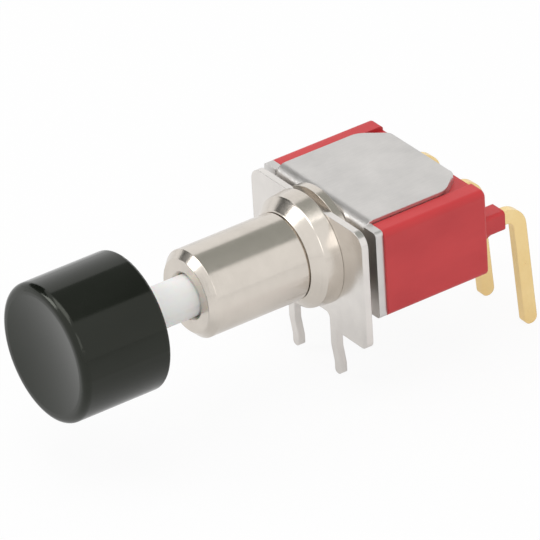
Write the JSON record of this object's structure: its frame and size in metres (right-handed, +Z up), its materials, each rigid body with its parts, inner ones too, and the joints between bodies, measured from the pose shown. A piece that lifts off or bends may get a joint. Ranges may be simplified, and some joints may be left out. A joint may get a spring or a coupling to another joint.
{
  "type": "pushbutton switch",
  "caption": "Miniature board-mounted pushbutton switch: round cap on a plunger, plated bushing, legged bracket, strapped case and right-angle terminals.",
  "frame": {"origin": "on the board surface, below the bushing axis, midway through the bracket plate", "axes": "+X along the row of terminals towards the terminal that is closed at rest, +Y along the bushing from the cap towards the terminals, +Z up from the board"},
  "size_m": [0.0126, 0.0354, 0.0139],
  "materials": {
    "cap_black": "polished black moulding",
    "nylon_white": "natural white nylon",
    "spring_wire": "drawn stainless wire",
    "sheet_steel": "satin rolled sheet",
    "nickel_turned": "nickel plate over turned brass",
    "tinned_plate": "bright tin plate",
    "case_red": "satin red moulding",
    "insulator_board": "pressed fibre board",
    "gold_plate": "gold plate",
    "contact_silver": "bright silver",
    "blade_copper": "rolled copper alloy"
  },
  "bodies": {
    "housing": {"case": "case_red", "frame": "sheet_steel", "bracket": "tinned_plate", "bushing": "nickel_turned", "clamp_collar": "nickel_turned", "spring_retainer": "sheet_steel", "insulator": "insulator_board", "return_spring": "spring_wire", "terminal_common": "gold_plate", "terminal_closed": "gold_plate", "terminal_open": "gold_plate", "contact_closed": "contact_silver", "contact_open": "contact_silver", "bias_spring": "spring_wire"},
    "button": {"cap": "cap_black", "plunger": "nylon_white", "pusher_foot": "nylon_white", "actuating_spring": "spring_wire"},
    "blade": {"contact_blade": "blade_copper", "blade_contact_closed": "contact_silver", "blade_contact_open": "contact_silver", "spring_seat_bias": "nylon_white", "spring_seat_actuating": "nylon_white"}
  },
  "joints": [
    {"name": "button_press", "type": "slide", "parent": "housing", "child": "button", "axis": [0, 1, 0], "range_m": [0, 0.0016], "stiffness_N_per_m": 800, "springref_m": -0.0015, "deforming": ["return_spring", "actuating_spring"]},
    {"name": "blade_rock", "type": "hinge", "parent": "housing", "child": "blade", "pos_m": [0, 0.00605, 0.0052], "axis": [0, 0, 1], "range_deg": [-14, 0], "deforming": ["bias_spring"]}
  ],
  "couplings": [
    {"joint": "blade_rock", "follows": "button_press", "rad_per_m": -152.61}
  ]
}
